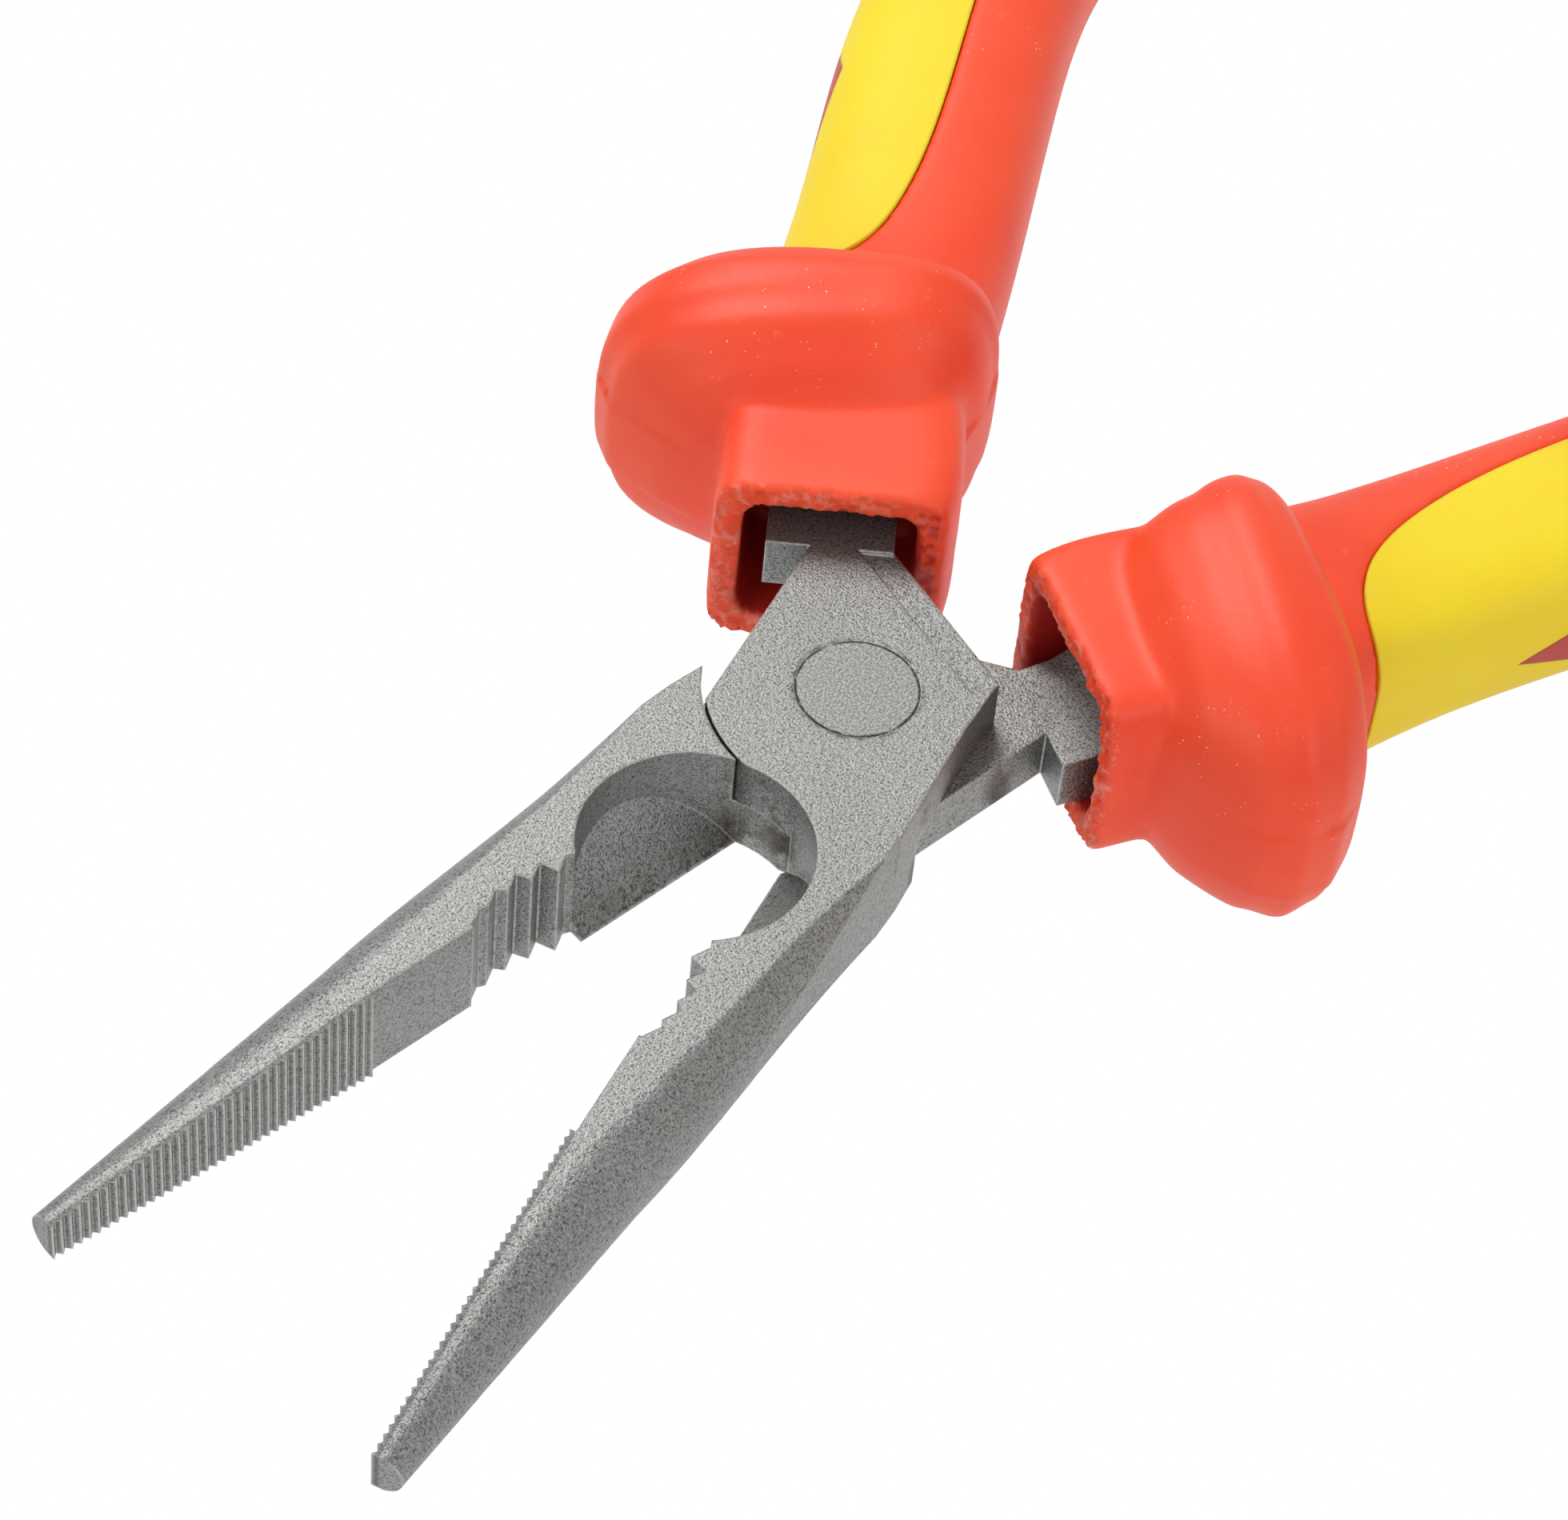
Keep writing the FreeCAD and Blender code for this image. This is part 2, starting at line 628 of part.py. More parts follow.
def make_rivet():
    """Makes the flush rivet: a shank with a cone head sunk into each face."""
    body = doc.addObject("PartDesign::Body", "pivot_rivet")
    top = sizes.joint_thickness
    profile = outline(body, "rivet_profile", [
        (0, 0), (sizes.rivet_head_radius, 0),
        (sizes.rivet_shank_radius, sizes.rivet_head_depth),
        (sizes.rivet_shank_radius, top - sizes.rivet_head_depth),
        (sizes.rivet_head_radius, top), (0, top)], plane="XZ_Plane")
    turned = body.newObject("PartDesign::Revolution", "rivet_turned")
    turned.Profile = profile
    turned.ReferenceAxis = (profile, ["V_Axis"])
    turned.Angle = 360
    return body


kept = make_half("front") + make_half("rear") + [make_rivet()]
doc.recompute()

for item in doc.Objects:
    if "Invalid" in item.State or "Error" in item.State:
        raise RuntimeError(f"{item.Name} failed: {item.State}")
os.makedirs("parts", exist_ok=True)
for item in kept:
    shape = item.Shape
    if shape.isNull() or not shape.isValid() or not shape.Solids:
        raise RuntimeError(f"{item.Label} has no valid solid")
    print(item.Label, len(shape.Solids), round(shape.Volume, 1))
    shape.exportStep(f"parts/{item.Label}.step")
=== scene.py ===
"""Looks for a pair of insulated long nose pliers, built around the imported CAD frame."""

import logging
import math
from dataclasses import dataclass
from enum import Enum
from typing import Any

import bpy
import numpy as np
from mathutils import Matrix, Vector, noise

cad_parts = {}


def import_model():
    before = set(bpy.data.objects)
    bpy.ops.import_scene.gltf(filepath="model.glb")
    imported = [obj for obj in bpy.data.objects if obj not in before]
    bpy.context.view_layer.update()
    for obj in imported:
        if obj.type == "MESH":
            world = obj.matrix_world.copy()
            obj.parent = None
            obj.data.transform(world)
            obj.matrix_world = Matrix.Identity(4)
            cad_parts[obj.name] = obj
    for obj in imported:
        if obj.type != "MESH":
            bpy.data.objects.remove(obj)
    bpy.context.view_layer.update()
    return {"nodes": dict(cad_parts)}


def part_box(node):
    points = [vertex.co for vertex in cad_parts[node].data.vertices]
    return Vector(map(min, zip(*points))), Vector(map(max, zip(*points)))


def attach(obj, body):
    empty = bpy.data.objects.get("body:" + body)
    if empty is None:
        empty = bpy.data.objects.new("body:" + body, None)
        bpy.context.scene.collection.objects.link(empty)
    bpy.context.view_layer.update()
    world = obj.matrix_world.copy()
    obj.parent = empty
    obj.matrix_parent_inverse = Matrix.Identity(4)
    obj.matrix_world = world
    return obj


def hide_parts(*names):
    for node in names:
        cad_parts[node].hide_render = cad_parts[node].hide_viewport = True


LOG = logging.getLogger("pliers")
MM = 0.001
HALF_OPENING = 11.0
SOFT_ANGLE = 60.0
MERGE_DISTANCE = 1e-6
BYTE_TOP = 255
WHITE = (1.0, 1.0, 1.0)

Triple = tuple[float, float, float]
Colour = Triple
Span = tuple[float, float]


class Side(Enum):
    """The two halves of the pliers."""

    FRONT = "front"
    REAR = "rear"

    @property
    def sign(self) -> float:
        """The half's direction along Y: plus one in front and minus one behind."""
        return 1.0 if self is Side.FRONT else -1.0

    @property
    def mouth_behind(self) -> float:
        """How far behind the front sleeve's mouth this half's mouth lies."""
        return 0.6 * MM if self is Side.REAR else 0.0

    @property
    def body(self) -> str:
        """The CAD body that this half's pieces ride on."""
        return f"{self.value}_half"

    def node(self, piece: str) -> str:
        """Names the CAD node of one of this half's pieces.

        Args:
            piece: what the piece is, such as lever.

        Returns:
            The node's name.
        """
        return f"{self.value}_{piece}"


# ------------------------------------------------------------------ shader maths


@dataclass(frozen=True)
class Wire:
    """A node socket that ordinary operators can work on."""

    book: "Finish"
    socket: Any

    def _maths(self, operation: str, *others: Any) -> "Wire":
        """Adds one Math node.

        Args:
            operation: the Math node's operation.
            others: further operands, wires or numbers.

        Returns:
            The node's result as a wire.
        """
        return self.book.node("ShaderNodeMath", {"operation": operation},
                              dict(enumerate((self, *others))))

    def __add__(self, other: Any) -> "Wire":
        """Sum."""
        return self._maths("ADD", other)

    def __sub__(self, other: Any) -> "Wire":
        """Difference."""
        return self._maths("SUBTRACT", other)

    def __rsub__(self, other: Any) -> "Wire":
        """Difference, the wire taken away."""
        return self.book.node("ShaderNodeMath", {"operation": "SUBTRACT"}, {0: other, 1: self})

    def __mul__(self, other: Any) -> "Wire":
        """Product."""
        return self._maths("MULTIPLY", other)

    def __pow__(self, other: Any) -> "Wire":
        """Power."""
        return self._maths("POWER", other)

    __radd__ = __add__

    def least(self, other: Any) -> "Wire":
        """The smaller of the two."""
        return self._maths("MINIMUM", other)

    def most(self, other: Any) -> "Wire":
        """The larger of the two."""
        return self._maths("MAXIMUM", other)

    def size(self) -> "Wire":
        """The absolute value."""
        return self._maths("ABSOLUTE")

    def ease(self, low: float, high: float) -> "Wire":
        """A smooth step: zero at low and one at high.

        Args:
            low: the value that gives zero.
            high: the value that gives one, which may be less than low.

        Returns:
            The eased wire.
        """
        turned = low > high
        return self.book.node(
            "ShaderNodeMapRange", {"interpolation_type": "SMOOTHSTEP"},
            {"Value": self, "From Min": min(low, high), "From Max": max(low, high),
             "To Min": float(turned), "To Max": float(not turned)})


def linear(level: int) -> float:
    """Undoes the display's curve for one level.

    Args:
        level: the display level, from 0 to 255.

    Returns:
        The linear level, from 0 to 1.
    """
    share = level / BYTE_TOP
    return share / 12.92 if share <= 0.04045 else ((share + 0.055) / 1.055) ** 2.4


def paint(red: int, green: int, blue: int) -> Colour:
    """Turns a display colour into the linear colour that a shader takes.

    Args:
        red: the red level, from 0 to 255.
        green: the green level.
        blue: the blue level.

    Returns:
        The linear colour.
    """
    return linear(red), linear(green), linear(blue)


class Finish:
    """A material under construction: the base of every finish below."""

    def begin(self, name: str) -> None:
        """Starts an empty material with a Principled surface.

        The finishes are frozen, so their workings are set past that guard.

        Args:
            name: the material's name.
        """
        material = bpy.data.materials.new(name)
        material.use_nodes = True
        tree = material.node_tree
        tree.nodes.clear()
        surface = tree.nodes.new("ShaderNodeBsdfPrincipled")
        output = tree.nodes.new("ShaderNodeOutputMaterial")
        tree.links.new(surface.outputs["BSDF"], output.inputs["Surface"])
        object.__setattr__(self, "material", material)
        object.__setattr__(self, "surface", surface)

    def node(self, kind: str, settings: dict[str, Any], sockets: dict[Any, Any],
             output: Any = 0) -> Wire:
        """Adds one node.

        Args:
            kind: the node's type.
            settings: the node's own properties, set first.
            sockets: values or wires for its inputs, by name or number.
            output: the output to return, by name or number.

        Returns:
            The chosen output as a wire.
        """
        made = self.material.node_tree.nodes.new(kind)
        for key, value in settings.items():
            setattr(made, key, value)
        for key, value in sockets.items():
            self.fill(made.inputs[key], value)
        return Wire(self, made.outputs[output])

    def fill(self, slot: Any, value: Any) -> None:
        """Gives an input a wire or a plain value.

        Args:
            slot: the input socket.
            value: a wire, a number, a vector or a colour.
        """
        if isinstance(value, Wire):
            self.material.node_tree.links.new(value.socket, slot)
        elif isinstance(value, tuple) and len(value) == 3 and len(slot.default_value) == 4:
            slot.default_value = (*value, 1.0)
        else:
            slot.default_value = value

    def place(self) -> Wire:
        """The point on the surface, in the object's own metres."""
        return self.node("ShaderNodeTexCoord", {}, {}, "Object")

    def axes(self) -> tuple[Wire, Wire, Wire]:
        """The point's three coordinates, in millimetres."""
        split = self.node("ShaderNodeSeparateXYZ", {}, {0: self.place()})
        outputs = split.socket.node.outputs
        return tuple(Wire(self, outputs[index]) * (1 / MM) for index in range(3))

    def upward(self) -> Wire:
        """How far the flat face under the point looks up: one up and minus one down."""
        normal = self.node("ShaderNodeNewGeometry", {}, {}, "True Normal")
        return self.node("ShaderNodeSeparateXYZ", {}, {0: normal}, "Z")

    def stretched(self, scale: Triple) -> Wire:
        """The surface point stretched along the axes, for a drawn-out grain.

        Args:
            scale: the factor on each axis.

        Returns:
            The stretched point.
        """
        return self.node("ShaderNodeMapping", {}, {"Vector": self.place(), "Scale": scale})

    def noise(self, scale: float, detail: float = 3.0, rough: float = 0.55,
              vector: Wire | None = None) -> Wire:
        """A cloudy pattern from 0 to 1.

        Args:
            scale: how many clouds there are to a metre.
            detail: how many finer layers it has.
            rough: the strength of the finer layers.
            vector: the point to read, if not the surface point.

        Returns:
            The pattern's value.
        """
        return self.node("ShaderNodeTexNoise", {}, {
            "Vector": vector or self.place(), "Scale": scale, "Detail": detail,
            "Roughness": rough})

    def cells(self, scale: float) -> Wire:
        """The distance to the nearest of many scattered points.

        Args:
            scale: how many cells there are to a metre.

        Returns:
            The distance, in cells.
        """
        return self.node("ShaderNodeTexVoronoi", {}, {
            "Vector": self.place(), "Scale": scale}, "Distance")

    def painted(self, name: str) -> Wire:
        """A share from 0 to 1 that the mesh's points carry.

        Args:
            name: the attribute's name.

        Returns:
            The share.
        """
        return self.node("ShaderNodeAttribute", {"attribute_name": name}, {}, "Fac")

    def mix(self, share: Any, first: Any, second: Any) -> Wire:
        """Blends two colours.

        Args:
            share: how much of the second, from 0 to 1.
            first: the first colour or wire.
            second: the second colour or wire.

        Returns:
            The blended colour.
        """
        made = self.node("ShaderNodeMix", {"data_type": "RGBA"}, {0: share, 6: first, 7: second})
        return Wire(self, made.socket.node.outputs[2])

    def edge(self, width: float) -> tuple[Wire, Wire]:
        """Rounds corners in the shading and finds them.

        Args:
            width: the rounding's radius in metres.

        Returns:
            The rounded normal, and how far it turns from the true one.
        """
        rounded = self.node("ShaderNodeBevel", {"samples": 6}, {"Radius": width})
        flat = self.node("ShaderNodeNewGeometry", {}, {}, "Normal")
        match = self.node("ShaderNodeVectorMath", {"operation": "DOT_PRODUCT"},
                          {0: rounded, 1: flat}, "Value")
        return rounded, 1.0 - match

    def bump(self, height: Wire, depth: float, normal: Wire | None = None) -> Wire:
        """Turns a height pattern into a normal.

        Args:
            height: the pattern, from 0 to 1.
            depth: the real depth of the pattern in metres.
            normal: the normal to start from, if not the surface's own.

        Returns:
            The bumped normal.
        """
        sockets = {"Height": height, "Distance": depth, "Strength": 1.0}
        if normal is not None:
            sockets["Normal"] = normal
        return self.node("ShaderNodeBump", {}, sockets)

    def finish(self, **sockets: Any) -> bpy.types.Material:
        """Fills the surface's own sockets.

        Args:
            sockets: values or wires, with spaces in the names written as _.

        Returns:
            The finished material.
        """
        for key, value in sockets.items():
            self.fill(self.surface.inputs[key.replace("_", " ")], value)
        return self.material


# ---------------------------------------------------------------------- finishes


@dataclass(frozen=True)
class Steel(Finish):
    """The greys and the two grains of a sand-blasted surface, places in millimetres."""

    label: str
    pale: Colour = paint(170, 172, 169)
    middle: Colour = paint(122, 124, 121)
    fine_scale: float = 4600.0
    coarse_scale: float = 1900.0
    grain_height: float = 0.6
    metallic: float = 0.88
    head_radius: float = 5.07

    def grains(self) -> tuple[Wire, Wire]:
        """The fine and the coarse grain, each from 0 to 1."""
        return self.noise(self.fine_scale, 2.0, 0.75), self.noise(self.coarse_scale, 3.0, 0.65)

    def pits(self, fine: Wire, coarse: Wire) -> Wire:
        """The height of the blasted surface.

        Args:
            fine: the fine grain.
            coarse: the coarse grain.

        Returns:
            The height pattern.
        """
        return fine * self.grain_height + coarse * self.grain_height

    @staticmethod
    def reach(x: Wire, y: Wire) -> Wire:
        """The distance from the rivet's axis.

        Args:
            x: the point's x.
            y: the point's y.

        Returns:
            The distance.
        """
        return (x * x + y * y) ** 0.5


@dataclass(frozen=True)
class BlastedSteel(Steel):
    """Forged lever steel: bright and dark grain, pale edges from rubbing and a painted highlight,
    toothed bite with painted shade and highlights, brown dirt.
    """

    label: str = "blasted_steel"
    dark: Colour = paint(60, 61, 58)
    rust: Colour = paint(74, 58, 42)
    # Pale tone for rubbed edges, also used for painted highlights.
    worn_and_highlight: Colour = paint(214, 213, 210)
    cloud_scale: float = 70.0
    blotch_scale: float = 210.0
    ragged_scale: float = 900.0
    crumb_scale: float = 1500.0
    speck_scale: float = 900.0
    blotched: Span = (0.56, 0.7)
    patchy: Span = (0.42, 0.62)
    facing_up: Span = (0.7, 0.95)
    upright: Span = (0.95, 0.8)
    front_face: Span = (9.6, 9.9)
    ring_width: float = 0.55
    joint_middle: float = 5.0
    joint_radius: float = 12.4
    joint_band: Span = (1.3, 0.1)
    cutter: Span = (11.0, 31.0)
    cutter_half_width: Span = (13.0, 9.0)
    blade_foot: Span = (2.6, 0.2)
    bite_start: Span = (48.6, 49.2)
    # Bands, in mm from the bite plane, of the painted shade in the serrations' grooves and the
    # painted highlight on their crests.
    groove_foot: Span = (0.1, 0.36)
    groove_top: Span = (0.75, 0.5)
    crest_highlight: Span = (0.14, 0.02)
    crest_start: Span = (27.0, 28.0)
    # Strength of the painted serration shade and highlight.
    serration_light_strength: float = 0.55
    tang_start: Span = (-14.0, -17.0)
    tang_middle: Span = (4.0, 1.0)
    most_soil: float = 0.92
    edge_radius: float = 0.35 * MM
    pit_depth: float = 0.12 * MM

    def make(self) -> bpy.types.Material:
        """Builds the material.

        Returns:
            The finished material.
        """
        self.begin(self.label)
        x, y, z = self.axes()
        fine, coarse = self.grains()
        turn = math.radians(HALF_OPENING)
        above_bite = y.size() * math.cos(turn) - x * math.sin(turn)
        # Painted shade in the serrations' grooves and painted highlights on their crests.
        base = self.serration_shade_and_highlight(self.bare_metal(fine, coarse), x, above_bite)
        soil = self.soil(x, y, z, above_bite)
        base = self.mix(soil, base, self.rust)
        rounded, turned = self.edge(self.edge_radius)
        # Pale rounded edges: partly metal rubbed bare, partly a painted highlight.
        wear_and_highlight = turned.ease(0.01, 0.14) * coarse.ease(0.2, 0.55)
        base = self.mix(wear_and_highlight * 0.75, base, self.worn_and_highlight)
        return self.finish(
            Base_Color=base, Metallic=self.metallic - soil * 0.7,
            Roughness=(0.38 + coarse * 0.12 + soil * 0.4 - wear_and_highlight * 0.1).least(0.95),
            Normal=self.bump(self.pits(fine, coarse), self.pit_depth, rounded))

    def bare_metal(self, fine: Wire, coarse: Wire) -> Wire:
        """The clean surface's greys.

        Args:
            fine: the fine grain.
            coarse: the coarse grain.

        Returns:
            The colour.
        """
        cloud = self.noise(self.cloud_scale, 3.0, 0.5)
        tone = (fine.ease(0.38, 0.62) * 0.6 + coarse.ease(0.34, 0.68) * 0.3
                + cloud.ease(0.3, 0.7) * 0.1)
        base = self.mix(tone, self.middle, self.pale)
        return self.mix(fine.ease(0.44, 0.33) * 0.7, base, self.dark)

    def serration_shade_and_highlight(self, base: Wire, x: Wire, above_bite: Wire) -> Wire:
        """Paints shade into the serrations' grooves and a highlight on their crests.

        Args:
            base: the clean colour.
            x: the point's x.
            above_bite: the point's distance from the plane where the jaws meet.

        Returns:
            The colour with the painted shade and highlight.
        """
        # Painted shade in the grooves and a painted highlight on the crests, for contrast.
        groove_shade = above_bite.ease(*self.groove_foot) * above_bite.ease(*self.groove_top)
        crest_highlight = above_bite.ease(*self.crest_highlight) * x.ease(*self.crest_start)
        base = self.mix(groove_shade * x.ease(*self.bite_start) * self.serration_light_strength, base, self.dark)
        return self.mix(crest_highlight * self.serration_light_strength, base, self.worn_and_highlight)

    def soil(self, x: Wire, y: Wire, z: Wire, above_bite: Wire) -> Wire:
        """Where brown dirt lies: round the rivet, in the cutter, at the lap and the tang.

        Args:
            x: the point's x.
            y: the point's y.
            z: the point's z.
            above_bite: the point's distance from the plane where the jaws meet.

        Returns:
            The share of dirt.
        """
        radius = self.reach(x, y)
        upward = self.upward()
        wall = upward.size().ease(*self.upright)
        on_front = z.ease(*self.front_face) * upward.ease(*self.facing_up)
        ragged = self.noise(self.ragged_scale, 4.0, 0.7).ease(*self.patchy)
        ring = (radius - self.head_radius).size().ease(self.ring_width, 0.0) * ragged * on_front
        blotch = self.noise(self.blotch_scale, 4.0, 0.65)
        blotches = blotch.ease(*self.blotched)
        specks = self.cells(self.speck_scale).ease(0.14, 0.06) * blotches
        start, end = self.cutter
        along = (x - start).ease(0.0, 3.0) * (end - x).ease(0.0, 4.0)
        cutter = along * wall * y.size().ease(*self.cutter_half_width)
        crumbs = self.noise(self.crumb_scale, 4.0, 0.75).ease(0.5, 0.62)
        dirt = cutter * crumbs * (above_bite.ease(*self.blade_foot) * 0.9 + blotches * 0.45)
        band = (radius - self.joint_radius).size().ease(*self.joint_band)
        lap = band * wall * blotch.ease(*self.patchy)
        core = (z - self.joint_middle).size().ease(*self.tang_middle)
        tang = x.ease(*self.tang_start) * core * blotch.ease(0.44, 0.6)
        soil = ring * 0.8 + specks * 0.35 + dirt * 0.8 + lap * 0.7 + tang * 0.8
        return soil.least(self.most_soil)


@dataclass(frozen=True)
class RivetSteel(Steel):
    """The flush rivet's blasted head, with a dark ragged line round it."""

    label: str = "rivet_steel_blasted"
    dark: Colour = paint(46, 40, 34)
    ragged_scale: float = 700.0
    ragged_depth: float = 0.36
    ring: Span = (-0.06, 0.16)
    pit_depth: float = 0.06 * MM

    def make(self) -> bpy.types.Material:
        """Builds the material.

        Returns:
            The finished material.
        """
        self.begin(self.label)
        x, y, _ = self.axes()
        fine, coarse = self.grains()
        base = self.mix(fine.ease(0.36, 0.64), self.middle, self.pale)
        ragged = self.noise(self.ragged_scale, 4.0, 0.75)
        past_head = self.reach(x, y) - self.head_radius + ragged * self.ragged_depth
        ring = past_head.ease(*self.ring) * ragged.ease(0.34, 0.5)
        return self.finish(
            Base_Color=self.mix(ring, base, self.dark), Metallic=self.metallic - ring * 0.6,
            Roughness=0.5 + coarse * 0.1 + ring * 0.3,
            Normal=self.bump(self.pits(fine, coarse) - ring * 1.5, self.pit_depth))


@dataclass(frozen=True)
class MouldedPlastic(Finish):
    """Insulating plastic with flow marks, a soft sheen, a few specks and painted shade along
    edges, creases and the collar's mouth.
    """

    label: str
    colour: Colour
    deep: Colour
    specks: float = 0.0
    gloss: float = 0.42
    # Painted shade colour for the walls within the collar's mouth.
    hollow_shade: Colour | None = None
    torn: Colour = paint(250, 150, 130)
    scuffed: Colour = paint(255, 190, 160)
    dust: Colour = paint(248, 226, 196)
    cloud_scale: float = 45.0
    flow_scale: float = 90.0
    flow_stretch: Triple = (1.0, 1.0, 3.5)
    fine_scale: float = 2600.0
    scuff_scale: float = 380.0
    patch_scale: float = 65.0
    dot_scale: float = 1500.0
    scratch_scale: float = 1300.0
    scratch_stretch: Triple = (0.25, 0.25, 1.0)
    flash_scale: float = 700.0
    edge_radius: float = 0.5 * MM
    mark_depth: float = 0.05 * MM
    glow_share: float = 0.06
    glow_depth: float = 4 * MM

    def make(self) -> bpy.types.Material:
        """Builds the material.

        Returns:
            The finished material.
        """
        self.begin(self.label)
        cloud = self.noise(self.cloud_scale, 3.0, 0.5)
        flow = self.noise(self.flow_scale, 4.0, 0.55, self.stretched(self.flow_stretch))
        fine = self.noise(self.fine_scale, 2.0, 0.6)
        base = self.mix(cloud.ease(0.3, 0.72) * 0.5 + flow.ease(0.35, 0.7) * 0.25,
                        self.colour, self.deep)
        scuff = self.noise(self.scuff_scale, 5.0, 0.7).ease(0.62, 0.74)
        base = self.mix(scuff * 0.1, base, self.scuffed)
        if self.specks:
            base = self.dusted(base)
        # Painted shade: the walls within the collar's mouth turn a deeper red.
        if self.hollow_shade:
            base = self.mouth_shade_and_marks(base)
        rounded, turned = self.edge(self.edge_radius)
        # Painted shade: a little darker along rounded edges and creases.
        base = self.mix(turned.ease(0.02, 0.3) * 0.25, base, self.deep)
        height = fine * 0.35 + flow * 0.8 + scuff * 0.4
        return self.finish(
            Base_Color=base, Roughness=self.gloss + fine * 0.1 + scuff * 0.12,
            Subsurface_Weight=self.glow_share, Subsurface_Scale=self.glow_depth,
            Specular_IOR_Level=0.45, Normal=self.bump(height, self.mark_depth, rounded))

    def dusted(self, base: Wire) -> Wire:
        """Scatters pale specks of dust in patches.

        Args:
            base: the clean colour.

        Returns:
            The speckled colour.
        """
        patch = self.noise(self.patch_scale, 2.0, 0.5).ease(0.52, 0.66)
        dots = self.cells(self.dot_scale).ease(0.16, 0.08) * patch
        dots = dots * self.noise(240.0).ease(0.5, 0.6)
        return self.mix(dots * self.specks, base, self.dust)

    def mouth_shade_and_marks(self, base: Wire) -> Wire:
        """Paints shade, a deeper red, on the scratched walls within the mouth and pales its torn
        rim.

        Args:
            base: the clean colour.

        Returns:
            The colour with the painted shade and the paler rim.
        """
        scratches = self.noise(self.scratch_scale, 3.0, 0.6, self.stretched(self.scratch_stretch))
        # Painted shade of deeper red on the walls within the mouth, broken a little by scratches.
        base = self.mix(self.painted("shaded_hollow") * (scratches * 0.25 + 0.75), base, self.hollow_shade)
        flash = self.noise(self.flash_scale, 4.0, 0.7).ease(0.5, 0.62)
        return self.mix(flash * self.painted("torn").ease(0.2, 0.7) * 0.6, base, self.torn)


@dataclass(frozen=True)
class Backdrop(Finish):
    """White paper: plain white to the eye and to gloss, pale to the light."""

    label: str = "white_paper"
    tone: Colour = (0.86, 0.86, 0.86)
    grain_scale: float = 300.0

    def make(self) -> bpy.types.Material:
        """Builds the material.

        Returns:
            The finished material.
        """
        self.begin(self.label)
        grain = self.noise(self.grain_scale, 3.0)
        tree = self.material.node_tree
        self.finish(Base_Color=self.tone, Roughness=0.8 + grain * 0.1)
        rays = tree.nodes.new("ShaderNodeLightPath")
        camera, gloss, through = (Wire(self, rays.outputs[f"Is {kind} Ray"])
                                  for kind in ("Camera", "Glossy", "Transmission"))
        seen = camera.most(gloss).most(through)
        glow = self.node("ShaderNodeEmission", {}, {"Color": WHITE, "Strength": 1.0})
        joined = self.node("ShaderNodeMixShader", {}, {
            0: seen, 1: Wire(self, self.surface.outputs["BSDF"]), 2: glow})
        output = next(n for n in tree.nodes if n.type == "OUTPUT_MATERIAL")
        tree.links.new(joined.socket, output.inputs["Surface"])
        return self.material


# ------------------------------------------------------------------------- tools


def deselect() -> None:
    """Leaves object mode with nothing selected."""
    if bpy.context.object and bpy.context.object.mode != "OBJECT":
        bpy.ops.object.mode_set(mode="OBJECT")
    bpy.ops.object.select_all(action="DESELECT")


def pick(piece: bpy.types.Object) -> None:
    """Makes one object the only selected and active one.

    Args:
        piece: the object.
    """
    deselect()
    piece.select_set(True)
    bpy.context.view_layer.objects.active = piece


def merged_copy(source: bpy.types.Object, name: str) -> bpy.types.Object:
    """Copies a CAD node's mesh and merges its loose triangles.

    Args:
        source: the CAD node's object.
        name: the copy's name.

    Returns:
        The copy, with one closed mesh of its own.
    """
    mesh = source.data.copy()
    piece = bpy.data.objects.new(name, mesh)
    bpy.context.scene.collection.objects.link(piece)
    mesh.materials.clear()
    pick(piece)
    if mesh.has_custom_normals:
        bpy.ops.mesh.customdata_custom_splitnormals_clear()
    bpy.ops.object.mode_set(mode="EDIT")
    bpy.ops.mesh.select_all(action="SELECT")
    bpy.ops.mesh.remove_doubles(threshold=MERGE_DISTANCE)
    bpy.ops.object.mode_set(mode="OBJECT")
    return piece


def modify(piece: bpy.types.Object, kind: str, **settings: Any) -> None:
    """Adds a modifier and applies it.

    Args:
        piece: the object.
        kind: the modifier's type.
        settings: the modifier's own properties.
    """
    pick(piece)
    modifier = piece.modifiers.new(kind.title(), kind)
    for key, value in settings.items():
        setattr(modifier, key, value)
    bpy.ops.object.modifier_apply(modifier=modifier.name)


def points_of(piece: bpy.types.Object) -> np.ndarray:
    """Reads the mesh's points.

    Args:
        piece: the object.

    Returns:
        Rows of x, y and z in metres.
    """
    spots = np.empty(len(piece.data.vertices) * 3)
    piece.data.vertices.foreach_get("co", spots)
    return spots.reshape(-1, 3)


def set_points(piece: bpy.types.Object, spots: np.ndarray) -> None:
    """Writes the mesh's points back.

    Args:
        piece: the object.
        spots: rows of x, y and z in metres.
    """
    piece.data.vertices.foreach_set("co", spots.ravel())
    piece.data.update()


def smooth(piece: bpy.types.Object, angle: float) -> None:
    """Shades a piece smooth except across its sharp edges.

    Args:
        piece: the object.
        angle: the turn in degrees from which an edge stays sharp.
    """
    pick(piece)
    bpy.ops.object.shade_smooth_by_angle(angle=math.radians(angle))


def dress(piece: bpy.types.Object, material: bpy.types.Material) -> None:
    """Gives every material slot of a piece the same material.

    Args:
        piece: the object.
        material: the material.
    """
    if not piece.data.materials:
        piece.data.materials.append(material)
    for index in range(len(piece.data.materials)):
        piece.data.materials[index] = material


# ------------------------------------------------------------------- sub-assemblies


